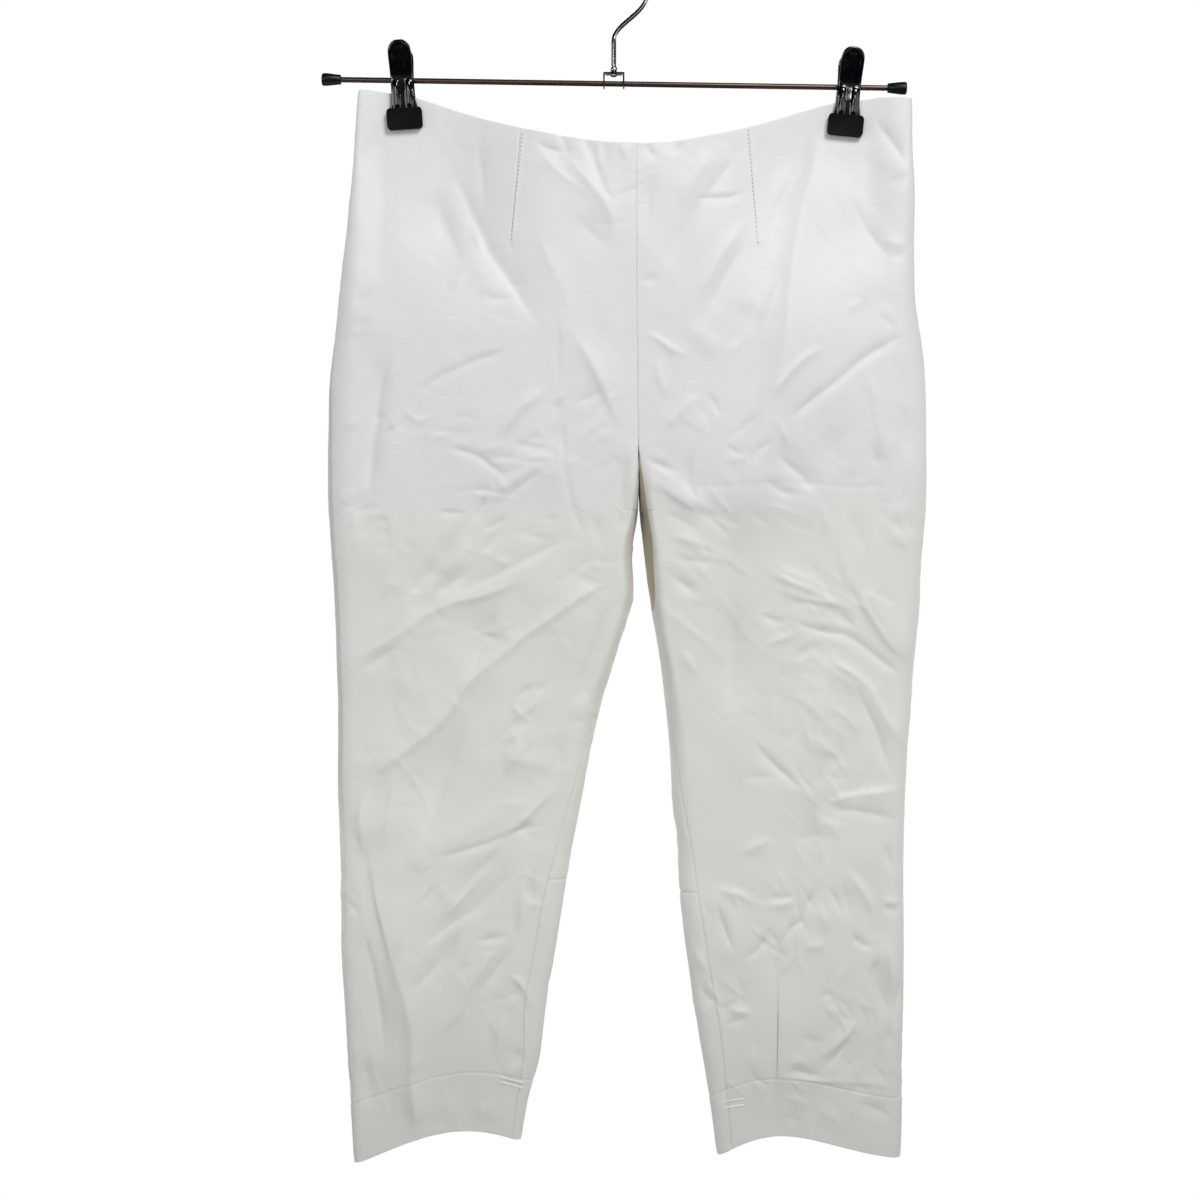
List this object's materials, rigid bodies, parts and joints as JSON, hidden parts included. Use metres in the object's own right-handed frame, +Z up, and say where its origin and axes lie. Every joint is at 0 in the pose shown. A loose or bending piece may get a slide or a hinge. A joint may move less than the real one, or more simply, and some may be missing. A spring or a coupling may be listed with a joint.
{
  "type": "capri pants on a clip hanger",
  "caption": "Slim capri trousers in plain white cotton, hung by the waist edge from a metal clip hanger with a wire hook.",
  "frame": {"origin": "underside of the hook's arch, at the middle of its wire's depth, where the hanger rests on a rail", "axes": "+Z up; the front of the trousers faces -Y; +X is to the right as seen from the front"},
  "size_m": [0.4655, 0.0845, 0.9376],
  "materials": {
    "cloth": "plain white cotton sateen with a faint sheen",
    "rod_steel": "dark gunmetal, semi-gloss",
    "rod_caps": "black, semi-gloss",
    "hook_chrome": "bright chrome",
    "clip_metal": "black chrome, glossy",
    "clip_pads": "black, matt"
  },
  "bodies": {
    "root": {"front_left": "cloth", "front_right": "cloth", "back_upper_left": "cloth", "back_upper_right": "cloth", "back_lower_left": "cloth", "back_lower_right": "cloth", "rod": "rod_steel", "rod_cap_left": "rod_caps", "rod_cap_right": "rod_caps", "hook": "hook_chrome", "bracket": "hook_chrome", "clip_left_sleeve": "clip_metal", "clip_left_front_jaw": "clip_metal", "clip_left_front_pad": "clip_pads", "clip_left_back_jaw": "clip_metal", "clip_left_back_pad": "clip_pads", "clip_right_sleeve": "clip_metal", "clip_right_front_jaw": "clip_metal", "clip_right_front_pad": "clip_pads", "clip_right_back_jaw": "clip_metal", "clip_right_back_pad": "clip_pads"}
  },
  "joints": []
}
